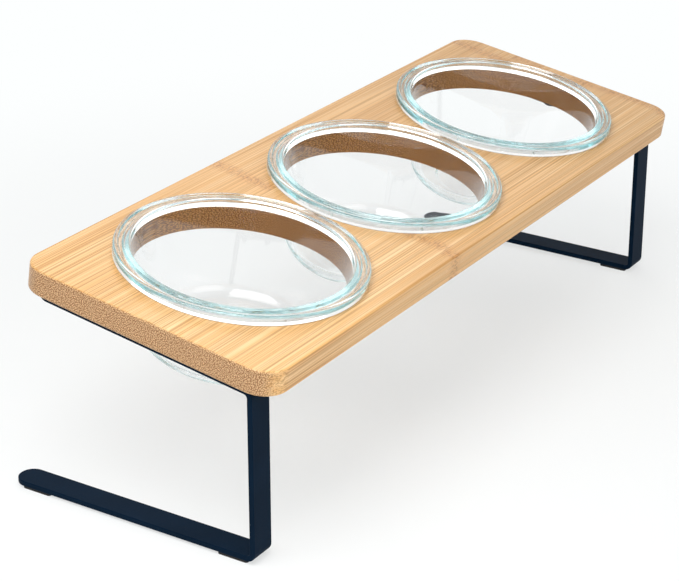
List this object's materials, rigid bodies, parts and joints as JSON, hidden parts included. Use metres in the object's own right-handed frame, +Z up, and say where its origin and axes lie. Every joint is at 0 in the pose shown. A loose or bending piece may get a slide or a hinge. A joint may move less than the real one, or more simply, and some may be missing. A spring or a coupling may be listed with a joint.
{
  "type": "elevated cat feeder",
  "caption": "Sloping bamboo board on bent flat-bar steel legs, holding a row of glass bowls that lift out; raises a cat's food and water off the floor.",
  "frame": {"origin": "on the floor, under the middle of the feeder's outline seen from above", "axes": "+X along the board to the right, -Y to the low front edge where the uprights stand, +Y to the high back edge, +Z up"},
  "size_m": [0.45, 0.168, 0.1355],
  "materials": {
    "bamboo": "satin lacquered laminated bamboo",
    "glass": "clear pressed glass with a faint green edge",
    "leg_steel": "satin dark blue-black powder coat",
    "screw_steel": "black oxide",
    "insert_brass": "turned",
    "pad_rubber": "matt"
  },
  "bodies": {
    "stand": {"bamboo_board": "bamboo", "leg_left": "leg_steel", "screw_left_front": "screw_steel", "insert_left_front": "insert_brass", "screw_left_middle": "screw_steel", "insert_left_middle": "insert_brass", "screw_left_rear": "screw_steel", "insert_left_rear": "insert_brass", "pad_left_front": "pad_rubber", "pad_left_rear": "pad_rubber", "leg_right": "leg_steel", "screw_right_front": "screw_steel", "insert_right_front": "insert_brass", "screw_right_middle": "screw_steel", "insert_right_middle": "insert_brass", "screw_right_rear": "screw_steel", "insert_right_rear": "insert_brass", "pad_right_front": "pad_rubber", "pad_right_rear": "pad_rubber"},
    "bowl_left": {"bowl_left": "glass"},
    "bowl_middle": {"bowl_middle": "glass"},
    "bowl_right": {"bowl_right": "glass"}
  },
  "joints": [
    {"name": "bowl_left_lift", "type": "slide", "parent": "stand", "child": "bowl_left", "axis": [0, -0.1599, 0.9871], "range_m": [0, 0.07]},
    {"name": "bowl_middle_lift", "type": "slide", "parent": "stand", "child": "bowl_middle", "axis": [0, -0.1599, 0.9871], "range_m": [0, 0.07]},
    {"name": "bowl_right_lift", "type": "slide", "parent": "stand", "child": "bowl_right", "axis": [0, -0.1599, 0.9871], "range_m": [0, 0.07]}
  ]
}
